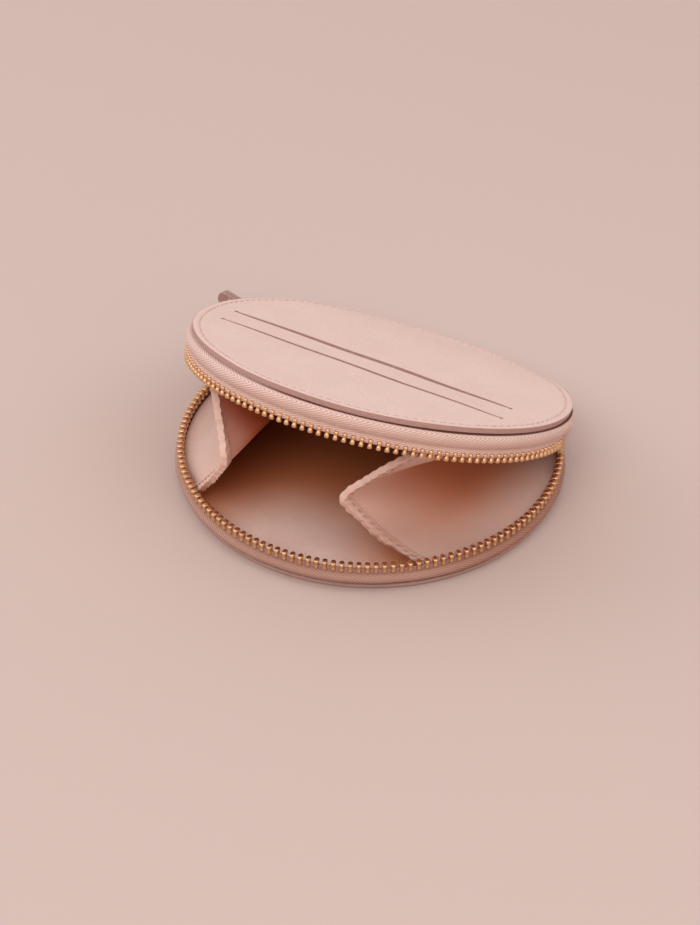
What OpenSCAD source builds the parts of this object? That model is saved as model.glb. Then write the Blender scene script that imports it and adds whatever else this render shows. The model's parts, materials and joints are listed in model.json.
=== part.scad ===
// Round zip-around coin purse with two card slots in its lid, standing half open.
// The origin is the middle of the underside, +Z is up, the hinge is at +Y and the mouth at -Y.
// Angles round the purse are counted from the hinge, anticlockwise as seen from above.

/* [Panels] */
// Diameter of the two round leather panels
panel_d = 110; // [100:1:124]
// Thickness of the outer leather
leather_t = 1.5; // [1:0.1:2]
// Thickness of the lining
lining_t = 0.8; // [0.5:0.1:1]
// Height of the closed purse, over both panels
closed_h = 20; // [18:0.5:24]
// Distance of the seam from a panel's edge
seam_inset = 2; // [1.75:0.25:3.5]
// Diameter of the sewing thread
thread_d = 0.5; // [0.3:0.05:0.6]

/* [Card slots] */
// Length of each slot, for a card 85.6 mm wide
slot_len = 89.5; // [87:0.5:92]
// Width of each slot
slot_w = 0.9; // [0.8:0.1:1.2]
// Distance of the rear slot in front of the lid's centre
slot_rear = 4; // [0:0.5:8]
// Distance between the two slots
slot_gap = 11.5; // [8:0.5:14]
// Distance of the rear slot to the left of the front one
slot_shift = 2.4; // [0:0.1:3]
// Length of pocket sheet in front of each slot
pocket_lip = 4; // [3:0.5:6]

/* [Zip tape and teeth] */
// Thickness of the zip tape
tape_t = 0.7; // [0.5:0.05:0.8]
// Distance of the tooth rows inside the panel's edge
row_inset = 0.5; // [0:0.1:1]
// Distance from the panel's edge back to where the tape leaves the seam
tape_exit = 1.4; // [1:0.1:2]
// Pull of the lower tape's bulge outwards, from the base's edge
tape_bulge = 1.2; // [0.8:0.1:2.4]
// Pull of the upper tape's bulge outwards, from the lid's edge
lid_bulge = 1.8; // [0.8:0.1:2.4]
// Depth of the shadow gap between a panel and the tape's bulge
tape_dip = 0.9; // [0.5:0.1:1.2]
// Pull of the bulge outwards, from the row of teeth
tape_belly = 2; // [1:0.1:2.4]
// Width of the tape's sewn margin
tape_margin = 5; // [4:0.5:6]
// Length of tape edge held inside a tooth
tape_bite = 0.9; // [0.7:0.05:1.2]
// Distance between neighbouring teeth of one row
tooth_pitch = 2.33; // [2.2:0.01:2.6]
// Width of a tooth, along the tape
tooth_w = 1.5; // [1.1:0.05:1.6]
// Thickness of a tooth, through the tape
tooth_t = 2.2; // [1.8:0.1:2.6]
// Height of a tooth, from its feet to its tip
tooth_h = 2.6; // [2.4:0.05:3]
// Distance between the tips of the two rows while the lid is shut and unzipped
row_gap = 1.9; // [0.9:0.1:2]
// Width of an end stop, along the tape
stop_w = 1.6; // [1.2:0.1:2]

/* [Hinge and gussets] */
// Angle from the middle of the hinge to each end of the lower tape
hinge_half = 52; // [48:0.5:56]
// Angle that the lid stands open
lid_open = 24; // [16:1:30]
// Pull of the back strip's bulge outwards, from a panel's edge
strip_bulge = 4; // [2.5:0.25:5]
// Thickness of the gusset leather
gusset_t = 0.8; // [0.6:0.1:1]
// Angle from the hinge to the rear end of a gusset
gusset_rear = 62; // [60:1:72]
// Angle from the hinge to the front end of a gusset, on average
gusset_front = 137; // [134:1:140]
// Turn of both gussets' front ends to the right
gusset_lean = 4.5; // [0:0.5:6]
// Distance between the two gusset folds at the mouth
fold_gap = 33; // [28:1:38]
// Distance between the two gusset folds at the hinge end
fold_spread = 50; // [44:1:56]
// Distance of a fold's front tip behind the panel's front edge, on average
fold_setback = 7; // [6:0.5:12]
// Setback of the right fold's tip over the average, and of the left one's under it
fold_lean = 2; // [0:0.5:3]
// Share of the fold's height that the belly of a slack gusset reaches
gusset_slack = 0.4; // [0.2:0.05:0.5]

/* [Slider and pull] */
// Length of the slider, along the tape
slider_len = 10; // [8:0.5:11]
// Gap between the parked slider and the lower row's end stop
park_gap = 0.7; // [0.4:0.1:1.2]
// Gap between the parked slider and the upper tape's wall
wall_gap = 1.8; // [1.4:0.1:3]
// Thickness of a slider plate
plate_t = 0.9; // [0.7:0.1:1.2]
// Width of the slider's edge lips
lip_t = 0.6; // [0.4:0.1:0.8]
// Thickness of the slider's dividing post
post_t = 0.6; // [0.4:0.05:0.6]
// Width of the slider's crown
crown_w = 2.4; // [1.8:0.1:3]
// Length of the slider's crown, along the tape
crown_span = 6.8; // [6:0.1:8]
// Length of each of the crown's feet, along the tape
crown_foot = 1.2; // [0.8:0.1:1.5]
// Thickness of the crown's bar
crown_bar = 0.8; // [0.6:0.1:1.2]
// Diameter of the pull link's wire
wire_d = 1.1; // [0.9:0.1:1.3]
// Length of the pull link, from pivot to outer bar
link_len = 6; // [5.5:0.5:9]
// Length of the leather pull tab, past the link's bar
tab_len = 19.5; // [14:0.5:26]
// Height of the leather pull tab
tab_h = 6.5; // [5:0.5:7]
// Thickness of one layer of the pull tab
tab_t = 1.1; // [0.8:0.1:1.3]
// Angle between the pull and straight out
pull_rest = 15; // [0:1:60]

/* [Clearances] */
// Gap between soft pieces that lie against each other
soft_gap = 0.3; // [0.2:0.05:0.4]
// Gap between a tooth's legs and the tape
grip_gap = 0.05; // [0.03:0.01:0.08]
// Gap between the teeth and the slider's plates
channel_gap = 0.45; // [0.35:0.05:0.6]
// Gap between the link's pivot wire and the slider's crown and plate
crown_gap = 0.3; // [0.2:0.05:0.4]
// Gap between a thread and the sides of its groove
thread_gap = 0.1; // [0.05:0.01:0.15]
// Gap along the tape between its ends and the back strip
strip_gap = 1.4; // [0.8:0.1:2]
// Gap between the link's wire and what turns on it
pivot_gap = 0.1; // [0.06:0.01:0.2]

/* [Hidden] */
$fn = 96;

leather_c = [0.88, 0.75, 0.70];
lining_c = [0.82, 0.69, 0.64];
tape_c = [0.78, 0.62, 0.58];
metal_c = [0.83, 0.60, 0.36];

panel_r = panel_d / 2;
mid_z = closed_h / 2;
tape_r = panel_r - row_inset;
exit_r = panel_r - tape_exit;
margin_r = exit_r - tape_margin;
margin_z = leather_t + tape_t / 2;
seam_r = panel_r - seam_inset;
board_r = margin_r - soft_gap;
lining_r = exit_r - soft_gap;
floor_z = leather_t + tape_t + lining_t;
groove_w = thread_d + 2 * thread_gap;
groove_depth = thread_d + thread_gap / 2;
axis_y = tape_r * cos(hinge_half);

tip_z = mid_z - row_gap / 2;
foot_z = tip_z - tooth_h;
edge_z = foot_z + tape_bite;
pitch_deg = along_tape(tooth_pitch);
stop_deg = along_tape(stop_w);
slider_at = hinge_half + along_tape(stop_w + park_gap + slider_len / 2);
upper_half = slider_at + along_tape(slider_len / 2 + wall_gap);

channel = tooth_t / 2 + channel_gap;
lip_open = tape_t / 2 + channel_gap;
slider_half = mid_z - foot_z + channel_gap / 2 + lip_t;
plate_out = channel + plate_t;
wall_z = mid_z - slider_half - lip_t / 4;
pivot_x = plate_out + wire_d / 2 + crown_gap;
link_inner = tab_h + 2 * pivot_gap;
bar_grip = wire_d / 2 + pivot_gap;

// Angle at the purse's middle of a length along the tape.
function along_tape(length) = length / tape_r * 180 / PI;

// Turns a closed half of the purse over, so that the base's shapes serve the lid too.
module flip() {
    translate([0, 0, closed_h]) mirror([0, 0, 1]) children();
}

// Carries the lid's pieces from shut to the angle at which the lid stands open.
module lid_place() {
    translate([0, axis_y, mid_z]) rotate([-lid_open, 0, 0]) translate([0, -axis_y, -mid_z]) children();
}

// The same turn of the lid, for single points.
function lid_point(p) =
    let (dy = p.y - axis_y, dz = p.z - mid_z, c = cos(lid_open), s = sin(lid_open))
    [p.x, axis_y + dy * c + dz * s, mid_z + dz * c - dy * s];

// A point at a radius and height, at an angle from the hinge.
function around(angle, r, z) = [-r * sin(angle), r * cos(angle), z];

module at_angle(angle) {
    rotate([0, 0, 90 + angle]) children();
}

// A ring section swept between two angles from the hinge.
module swept(from, to) {
    at_angle(from) rotate_extrude(angle = to - from) children();
}

module disc(r, z0, z1) {
    translate([0, 0, z0]) cylinder(r = r, h = z1 - z0);
}

// Outer leather with a stitch groove in its show face, which is at z = 0.
module panel() {
    difference() {
        disc(panel_r, 0, leather_t);
        rotate_extrude() translate([seam_r - groove_w / 2, -1]) square([groove_w, 1 + groove_depth]);
    }
}

module thread_ring() {
    rotate_extrude() translate([seam_r, groove_depth - thread_d / 2]) circle(d = thread_d, $fn = 24);
}

// Zip tape: a flat margin sewn between panel and lining, a bulge that dips away from the panel and swells
// out past its edge, and an upright wall that the teeth hold. The line is the middle of the tape, and both
// faces are offset from it.
module tape(from, to, bulge) {
    start = [exit_r, margin_z];
    swell = [panel_r + bulge, margin_z + tape_dip];
    neck = [tape_r + tape_belly, lerp(margin_z, wall_z, 0.7)];
    curve = [for (i = [0:12]) bezier3(start, swell, neck, [tape_r, wall_z], i / 12)];
    line = concat([[margin_r, margin_z]], curve, [[tape_r, edge_z]]);
    last = len(line) - 1;
    function across(i) =
        let (run = unit(line[min(i + 1, last)] - line[max(i - 1, 0)]))
        [run.y, -run.x] * tape_t / 2;
    outer = [for (i = [0:last]) line[i] + across(i)];
    inner = [for (i = [last:-1:0]) line[i] - across(i)];
    swept(from, to) polygon(concat(outer, inner));
}

// One zip element: two legs that pinch the tape's edge, and a head above it.
module tooth(width) {
    half = tooth_t / 2;
    slit = tape_t / 2 + grip_gap;
    nose = half * 0.55;
    rotate([90, 0, 0]) linear_extrude(height = width, center = true) polygon([
        [-half, foot_z], [-slit, foot_z], [-slit, edge_z + grip_gap],
        [slit, edge_z + grip_gap], [slit, foot_z], [half, foot_z],
        [half, tip_z - nose], [nose, tip_z], [-nose, tip_z], [-half, tip_z - nose]
    ]);
}

module element_at(angle, width) {
    at_angle(angle) translate([tape_r, 0, 0]) tooth(width);
}

// A row of teeth, even about the mouth. The two rows differ by half a pitch.
module tooth_row(end_angle, shift) {
    reach = floor((180 - end_angle) / pitch_deg - shift);
    for (k = [-reach:reach - 2 * shift]) element_at(180 + (k + shift) * pitch_deg, tooth_w);
}

module stop_pair(end_angle) {
    for (side = [-1, 1]) element_at(side * end_angle, stop_w);
}

function unit(v) = v / norm(v);
function lerp(a, b, t) = a + (b - a) * t;
function bezier2(a, b, c, t) = lerp(lerp(a, b, t), lerp(b, c, t), t);
function bezier3(a, b, c, d, t) = lerp(bezier2(a, b, c, t), bezier2(b, c, d, t), t);

// A closed sheet of even thickness along a grid of points: its faces are offset along the grid's normals.
module sheet(grid, thick) {
    rows = len(grid);
    cols = len(grid[0]);
    function pick(i, j) = grid[min(max(i, 0), rows - 1)][min(max(j, 0), cols - 1)];
    function normal(i, j) = unit(cross(pick(i + 1, j) - pick(i - 1, j), pick(i, j + 1) - pick(i, j - 1)));
    function id(side, i, j) = side * rows * cols + i * cols + j;
    function quad(a, b, c, d) = [[a, b, c], [a, c, d]];
    points = [for (side = [1, -1], i = [0:rows - 1], j = [0:cols - 1])
        grid[i][j] + side * thick / 2 * normal(i, j)];
    faces = concat(
        [for (i = [0:rows - 2], j = [0:cols - 2])
            each quad(id(0, i, j), id(0, i, j + 1), id(0, i + 1, j + 1), id(0, i + 1, j))],
        [for (i = [0:rows - 2], j = [0:cols - 2])
            each quad(id(1, i, j), id(1, i + 1, j), id(1, i + 1, j + 1), id(1, i, j + 1))],
        [for (i = [0:rows - 2], j = [0, cols - 1])
            each quad(id(j == 0 ? 0 : 1, i, j), id(j == 0 ? 0 : 1, i + 1, j),
                      id(j == 0 ? 1 : 0, i + 1, j), id(j == 0 ? 1 : 0, i, j))],
        [for (j = [0:cols - 2], i = [0, rows - 1])
            each quad(id(i == 0 ? 1 : 0, i, j), id(i == 0 ? 1 : 0, i, j + 1),
                      id(i == 0 ? 0 : 1, i, j + 1), id(i == 0 ? 0 : 1, i, j))]
    );
    polyhedron(points = points, faces = faces, convexity = 6);
}

// Half of a gusset's cross line, from the rim to just short of the fold, hanging slack.
function slack_line(rim, fold, steps) =
    let (belly = [lerp(fold.x, rim.x, 0.45), lerp(fold.y, rim.y, 0.45), lerp(rim.z, fold.z, gusset_slack)])
    [for (t = steps) bezier2(rim, belly, fold, t)];

// Cross lines of a gusset, drawn on the left, from its hinge end to the mouth: base rim, fold, lid rim.
// The lid's half mirrors the base's half in the plane midway between base and lid. Side is 1 for the left
// gusset and -1 for the right one.
function gusset_grid(side) =
    let (
        steps = [0, 0.3, 0.6, 0.85, 0.96],
        rim_r = lining_r - gusset_t,
        rim_z = floor_z + soft_gap + gusset_t / 2,
        rear = [-fold_spread / 2, tape_r * cos(gusset_rear)],
        tip = [-fold_gap / 2, fold_setback - side * fold_lean - panel_r],
        front = gusset_front + side * gusset_lean,
        half = lid_open / 2
    )
    [for (k = [0:12])
        let (
            u = k / 12,
            f = lerp(rear, tip, u),
            fold = [f.x, f.y, mid_z + (axis_y - f.y) * tan(half)],
            rim = around(lerp(gusset_rear, front, u), rim_r, rim_z),
            lower = slack_line(rim, fold, steps)
        )
        concat(lower, [for (i = [len(steps) - 1:-1:0]) mirror_in_fold_plane(lower[i])])
    ];

// Mirror image of a point in the plane through the hinge axis, midway between base and lid.
function mirror_in_fold_plane(p) = lid_point([p.x, p.y, closed_h - p.z]);

module left_gusset() {
    color(lining_c) sheet(gusset_grid(1), gusset_t);
}

module right_gusset() {
    color(lining_c) mirror([1, 0, 0]) sheet(gusset_grid(-1), gusset_t);
}

// Back wall between the two zip ends: sewn under both panels and bulging out as the lid folds back.
module hinge_strip() {
    strip_t = tape_t - 2 * grip_gap;
    end = hinge_half - along_tape(strip_gap);
    grid = [for (k = [-8:8])
        let (
            a = end * k / 8,
            b0 = around(a, margin_r + soft_gap, margin_z),
            b1 = around(a, exit_r, margin_z),
            b2 = around(a, panel_r + strip_bulge, margin_z),
            l0 = lid_point(around(a, margin_r + soft_gap, closed_h - margin_z)),
            l1 = lid_point(around(a, exit_r, closed_h - margin_z)),
            l2 = lid_point(around(a, panel_r + strip_bulge, closed_h - margin_z))
        )
        concat([b0], [for (i = [0:6]) bezier3(b1, b2, l2, l1, i / 6)], [l0])
    ];
    color(leather_c) sheet(grid, strip_t);
}

module base_panel() {
    color(leather_c) panel();
}

module base_board() {
    color("burlywood") disc(board_r, leather_t, leather_t + tape_t);
}

module base_lining() {
    color(lining_c) disc(lining_r, leather_t + tape_t, floor_z);
}

module base_thread() {
    color(leather_c) thread_ring();
}

module lower_zip_tape() {
    color(tape_c) tape(hinge_half, 360 - hinge_half, tape_bulge);
}

module lower_teeth() {
    color(metal_c) tooth_row(hinge_half + 2 * stop_deg, 0);
}

module lower_stops() {
    color(metal_c) stop_pair(hinge_half + stop_deg / 2);
}

// Cutter for a card slot with round ends.
module card_slot(middle) {
    straight = slot_len - slot_w;
    translate(middle) {
        cube([straight, slot_w, 3 * leather_t], center = true);
        for (side = [-1, 1])
            translate([side * straight / 2, 0, 0])
                cylinder(d = slot_w, h = 3 * leather_t, center = true, $fn = 24);
    }
}

// Lid leather with its two card slots.
module lid_panel() {
    color(leather_c) lid_place() difference() {
        flip() panel();
        card_slot([-slot_shift, -slot_rear, closed_h]);
        card_slot([0, -slot_rear - slot_gap, closed_h]);
    }
}

// Pocket sheet under a card slot: it reaches from a lip in front of the slot back to the hinge end.
module card_pocket(slot_y, layer) {
    sheet_t = tape_t / 2;
    color(lining_c) lid_place() flip() intersection() {
        disc(board_r, leather_t + layer * sheet_t, leather_t + (layer + 1) * sheet_t);
        translate([-panel_r, -slot_y - pocket_lip, 0]) cube([panel_d, panel_d, closed_h]);
    }
}

module rear_card_pocket() {
    card_pocket(slot_rear, 0);
}

module front_card_pocket() {
    card_pocket(slot_rear + slot_gap, 1);
}

module lid_lining() {
    color(lining_c) lid_place() flip() disc(lining_r, leather_t + tape_t, floor_z);
}

module lid_thread() {
    color(leather_c) lid_place() flip() thread_ring();
}

// Upper tape: its margin runs as far as the lower one's, and its wall stops clear of the parked slider.
module upper_zip_tape() {
    cut_deg = upper_half - hinge_half + 1;
    color(tape_c) lid_place() flip() difference() {
        tape(hinge_half, 360 - hinge_half, lid_bulge);
        for (from = [upper_half - cut_deg, 360 - upper_half])
            swept(from, from + cut_deg) translate([exit_r - soft_gap, 0]) square([panel_r, closed_h]);
    }
}

module upper_teeth() {
    color(metal_c) lid_place() flip() tooth_row(upper_half + 2 * stop_deg, 0.5);
}

module upper_stops() {
    color(metal_c) lid_place() flip() stop_pair(upper_half + stop_deg / 2);
}

// The slider's own frame: X straight out, Y along the tape, Z up, origin between the two rows.
module slider_place() {
    at_angle(slider_at) translate([tape_r, 0, mid_z]) children();
}

// A bar of a given outline in Y and Z, from one X to another.
module prism_x(x0, x1, outline) {
    translate([x0, 0, 0]) rotate([90, 0, 90]) linear_extrude(height = x1 - x0) polygon(outline);
}

module slider_body() {
    y = slider_len / 2;
    z = slider_half;
    cut = slider_len * 0.15;
    plate = [
        [-y, cut - z], [cut - y, -z], [y - cut, -z], [y, cut - z],
        [y, z - cut], [y - cut, z], [cut - y, z], [-y, z - cut]
    ];
    post_y = y - cut;
    post = [[post_y - 2 * post_t, 0], [post_y, -post_t / 2], [y, 0], [post_y, post_t / 2]];
    color(metal_c) slider_place() {
        prism_x(channel, plate_out, plate);
        prism_x(-plate_out, -channel, plate);
        prism_x(-channel, channel, post);
        for (sx = [-1, 1], sz = [-1, 1])
            translate([sx * (lip_open + channel) / 2, 0, sz * (z - lip_t / 2)])
                cube([channel - lip_open, slider_len - 2 * cut, lip_t], center = true);
    }
}

// Arch on the slider's outer plate that holds the pull link's pivot wire.
module slider_crown() {
    bar_in = pivot_x + wire_d / 2 + crown_gap;
    color(metal_c) slider_place() {
        for (side = [-1, 1])
            translate([plate_out, side * (crown_span - crown_foot) / 2 - crown_foot / 2, -crown_w / 2])
                cube([bar_in + crown_bar - plate_out, crown_foot, crown_w]);
        translate([bar_in, -crown_span / 2, -crown_w / 2]) cube([crown_bar, crown_span, crown_w]);
    }
}

// The pull's own frame: X along the pull from its pivot wire.
module pull_place() {
    slider_place() translate([pivot_x, 0, 0]) rotate([0, 0, pull_rest]) children();
}

// Rectangular loop of wire: pivot wire, two arms and the outer bar.
module pull_link() {
    z = (link_inner + wire_d) / 2;
    color(metal_c) pull_place() {
        for (x = [0, link_len])
            translate([x, 0, 0]) cylinder(d = wire_d, h = 2 * z, center = true, $fn = 32);
        for (side = [-1, 1]) {
            translate([0, 0, side * z]) rotate([0, 90, 0]) cylinder(d = wire_d, h = link_len, $fn = 32);
            for (x = [0, link_len]) translate([x, 0, side * z]) sphere(d = wire_d, $fn = 32);
        }
    }
}

// Strip of leather folded round the link's outer bar, with a half-round end.
module pull_tab() {
    color(leather_c) pull_place() translate([link_len, 0, 0]) difference() {
        union() {
            cylinder(r = bar_grip + tab_t, h = tab_h, center = true, $fn = 48);
            translate([0, -tab_t, -tab_h / 2]) cube([tab_len - tab_h / 2, 2 * tab_t, tab_h]);
            translate([tab_len - tab_h / 2, tab_t, 0]) rotate([90, 0, 0]) cylinder(d = tab_h, h = 2 * tab_t);
        }
        cylinder(r = bar_grip, h = 2 * tab_h, center = true, $fn = 48);
    }
}

base_panel();
base_board();
base_lining();
base_thread();
lower_zip_tape();
lower_teeth();
lower_stops();
hinge_strip();
left_gusset();
right_gusset();
lid_panel();
rear_card_pocket();
front_card_pocket();
lid_lining();
lid_thread();
upper_zip_tape();
upper_teeth();
upper_stops();
slider_body();
slider_crown();
pull_link();
pull_tab();
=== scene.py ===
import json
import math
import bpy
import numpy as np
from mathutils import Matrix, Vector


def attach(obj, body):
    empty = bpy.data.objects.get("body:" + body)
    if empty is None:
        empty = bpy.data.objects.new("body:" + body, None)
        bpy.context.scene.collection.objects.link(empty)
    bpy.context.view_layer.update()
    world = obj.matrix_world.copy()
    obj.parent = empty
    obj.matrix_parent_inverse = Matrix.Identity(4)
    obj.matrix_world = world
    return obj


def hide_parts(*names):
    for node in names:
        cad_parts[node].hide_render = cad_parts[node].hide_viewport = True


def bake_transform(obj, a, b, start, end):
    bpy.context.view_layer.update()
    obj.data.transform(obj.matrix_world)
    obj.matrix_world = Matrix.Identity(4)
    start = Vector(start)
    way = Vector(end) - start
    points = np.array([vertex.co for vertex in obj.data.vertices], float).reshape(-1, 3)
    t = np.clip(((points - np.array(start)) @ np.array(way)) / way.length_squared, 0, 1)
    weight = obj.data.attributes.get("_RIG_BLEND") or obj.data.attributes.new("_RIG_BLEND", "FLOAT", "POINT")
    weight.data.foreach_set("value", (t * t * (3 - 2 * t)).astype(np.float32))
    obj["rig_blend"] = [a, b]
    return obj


bl_info = {
    "name": "Round coin purse",
    "version": (1, 0, 0),
    "blender": (4, 5, 0),
    "location": "3D View > Sidebar > Purse",
    "description": "Dresses a round zip purse in leather, woven tape, thread and gold metal",
    "category": "Object",
}

import bmesh
import bpy
import numpy as np
from bpy.props import FloatProperty, FloatVectorProperty, PointerProperty
from mathutils import Quaternion, Vector

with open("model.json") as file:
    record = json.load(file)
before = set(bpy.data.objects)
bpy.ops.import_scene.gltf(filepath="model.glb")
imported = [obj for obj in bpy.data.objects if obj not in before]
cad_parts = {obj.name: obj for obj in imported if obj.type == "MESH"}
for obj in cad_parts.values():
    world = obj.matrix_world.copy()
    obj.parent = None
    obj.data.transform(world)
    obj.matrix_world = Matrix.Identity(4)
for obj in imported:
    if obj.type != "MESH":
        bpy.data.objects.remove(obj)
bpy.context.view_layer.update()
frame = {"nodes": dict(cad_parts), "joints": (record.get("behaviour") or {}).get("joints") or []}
joints = {joint["name"]: joint for joint in frame["joints"]}
hinge_y, hinge_z = joints["lid_hinge"]["pos_m"][1:]
pivot_at = joints["pull_swing"]["pos_m"]

FULL_TURN = 2 * math.pi
UP = np.array([0.0, 0.0, 1.0])

# Small measures in metres that are no choice of the user's

SKIN = 0.00004  # what a sheet gives up so that it stays clear of its neighbour
SEAT = 0.00035  # middle of a tape or strip above the leather that it is sewn to
BOARD = 0.0007  # thickness of the stiffening board
LINING_GAP = 0.0003  # room between a lining's edge and the tape
PANEL_EDGE = 0.00022  # rounding of a panel's edges
SOFT_EDGE = 0.0002  # rounding of the edges of linings and pull
POCKET_RADIUS = 0.048  # radius of the circle that the pockets are cut from
STOP_WIDTH = 0.0016  # width of an end stop, along the tape


# Sizes and colours that a user would change


def length(name, text, default):
    return FloatProperty(
        name=name, description=text, default=default, unit="LENGTH", subtype="DISTANCE", precision=5
    )


def angle(name, text, degrees):
    return FloatProperty(
        name=name, description=text, default=math.radians(degrees), unit="ROTATION", subtype="ANGLE"
    )


def colour(name, text, red, green, blue):
    """A colour property whose default is given as 8-bit display values and kept as linear light."""
    display = [value / 255 for value in (red, green, blue)]
    linear = [v / 12.92 if v <= 0.04045 else ((v + 0.055) / 1.055) ** 2.4 for v in display]
    return FloatVectorProperty(
        name=name, description=text, default=(*linear, 1), size=4, min=0, max=1, subtype="COLOR"
    )


class PurseSizes(bpy.types.PropertyGroup):
    """Sizes of the purse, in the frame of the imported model."""

    panel_radius: length("Panel radius", "Radius of the two round leather panels", 0.055)
    leather: length("Leather", "Thickness of the outer leather", 0.0015)
    lining: length("Lining", "Thickness of the lining", 0.0008)
    closed_height: length("Closed height", "Height over both panels with the lid shut", 2 * hinge_z)
    seam_inset: length("Seam inset", "Distance of the seam from a panel's edge", 0.002)
    lid_roll: length("Lid roll", "Drop of the lid's face at its edge", 0.0002)
    base_roll: length("Base roll", "Rise of the base's underside at its edge", 0.0006)
    back_droop: length("Back droop", "Drop of the lid's soft rear edge below its plane", 0.0024)
    slot_length: length("Slot length", "Length of each card slot", 0.0895)
    slot_rear: length("Rear slot", "Place of the rear slot, from the lid's middle", -0.004)
    slot_front: length("Front slot", "Place of the front slot, from the lid's middle", -0.0155)
    slot_shift: length("Slot shift", "Distance of the rear slot to the left of the front one", 0.0024)
    rear_gape: length("Rear gape", "Opening of the rear slot at its middle", 0.0025)
    front_gape: length("Front gape", "Opening of the front slot at its middle", 0.0015)
    tape: length("Tape", "Thickness of the zip tape", 0.0006)
    tape_radius: length("Tape radius", "Radius of the two rows of teeth", 0.0545)
    tape_exit: length("Tape exit", "Distance from a panel's edge to where the tape leaves", 0.0014)
    tape_bulge: length("Tape bulge", "Pull of the lower tape's bulge past the base's edge", 0.0012)
    lid_bulge: length("Lid tape bulge", "Pull of the upper tape's bulge past the lid's edge", 0.0018)
    tape_dip: length("Tape dip", "Depth of the shadow gap at the lower tape's bulge", 0.0009)
    lid_dip: length("Lid tape dip", "Depth of the shadow gap at the upper tape's bulge", 0.0002)
    tape_belly: length("Tape belly", "Pull of the bulge outwards, from the row of teeth", 0.002)
    tape_margin: length("Tape margin", "Width of the tape's sewn margin", 0.005)
    tape_bite: length("Tape bite", "Length of the lower tape's edge inside a tooth", 0.0009)
    lid_bite: length("Lid tape bite", "Length of the upper tape's edge inside a tooth", 0.0012)
    tape_reach: length("Tape reach", "Rise of the lower row over its share of the height", -0.0004)
    lid_reach: length("Lid tape reach", "Drop of the upper row below its share of the height", 0.0009)
    tooth_pitch: length("Tooth pitch", "Distance between neighbouring teeth of one row", 0.00233)
    tooth_height: length("Tooth height", "Height of a tooth, from its feet to its tip", 0.0026)
    tooth_width: length("Tooth width", "Width of a tooth's head, along the tape", 0.0015)
    tooth_depth: length("Tooth depth", "Thickness of a tooth, through the tape", 0.0022)
    row_gap: length("Row gap", "Distance between the two rows' tips with the lid shut", 0.0019)
    zip_end: angle("Zip end", "Angle from the hinge to each end of the zip", 52)
    strip_bulge: length("Strip bulge", "Pull of the rear strip's bulge past the panels' edges", 0.004)
    strip_dip: length("Strip dip", "Parting of the rear strip's halves, to fold flat", 0.0011)
    lid_open: angle("Lid open", "Angle that the lid stands open", 24)
    gusset: length("Gusset", "Thickness of the gusset leather", 0.0008)
    hem: length("Hem", "Width of a gusset's turned edge", 0.0023)
    hem_thickness: length("Hem thickness", "Thickness of a gusset's turned edge", 0.0018)
    gusset_rear: angle("Gusset rear", "Angle from the hinge to the rear end of a gusset", 61)
    gusset_front: angle("Gusset front", "Mean angle from the hinge to a gusset's front end", 137)
    gusset_lean: angle("Gusset lean", "Turn of both gussets' front ends to the right", 4.5)
    fold_gap: length("Fold gap", "Distance between the two folds at the mouth", 0.033)
    fold_spread: length("Fold spread", "Distance between the two folds at the hinge end", 0.05)
    fold_setback: length("Fold setback", "Mean distance of a fold's tip from the front edge", 0.007)
    fold_lean: length("Fold lean", "Setback of the right fold over the mean, left one under it", 0.002)
    stitch_length: length("Stitch length", "Length of one stitch", 0.0019)
    stitch_pitch: length("Stitch pitch", "Distance between neighbouring stitches", 0.0026)
    thread: length("Thread", "Diameter of the sewing thread", 0.00045)
    slider_length: length("Slider length", "Length of the slider, along the tape", 0.010)
    slider_half: length("Slider half height", "Half of the slider's height", 0.004375)
    plate: length("Slider plate", "Thickness of a slider plate", 0.0009)
    plate_out: length("Plate outside", "Distance of the slider's outer face from the row", 0.00245)
    wire: length("Wire", "Diameter of the pull link's wire", 0.0011)
    link: length("Link", "Length of the pull link, from pivot to outer bar", 0.006)
    tab_length: length("Tab length", "Length of the leather pull, past the link's bar", 0.0195)
    tab_height: length("Tab height", "Height of the leather pull", 0.0065)
    tab: length("Tab leather", "Thickness of one layer of the leather pull", 0.0011)
    pull_rest: angle("Pull angle", "Angle between the pull and straight out", 15)


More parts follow.
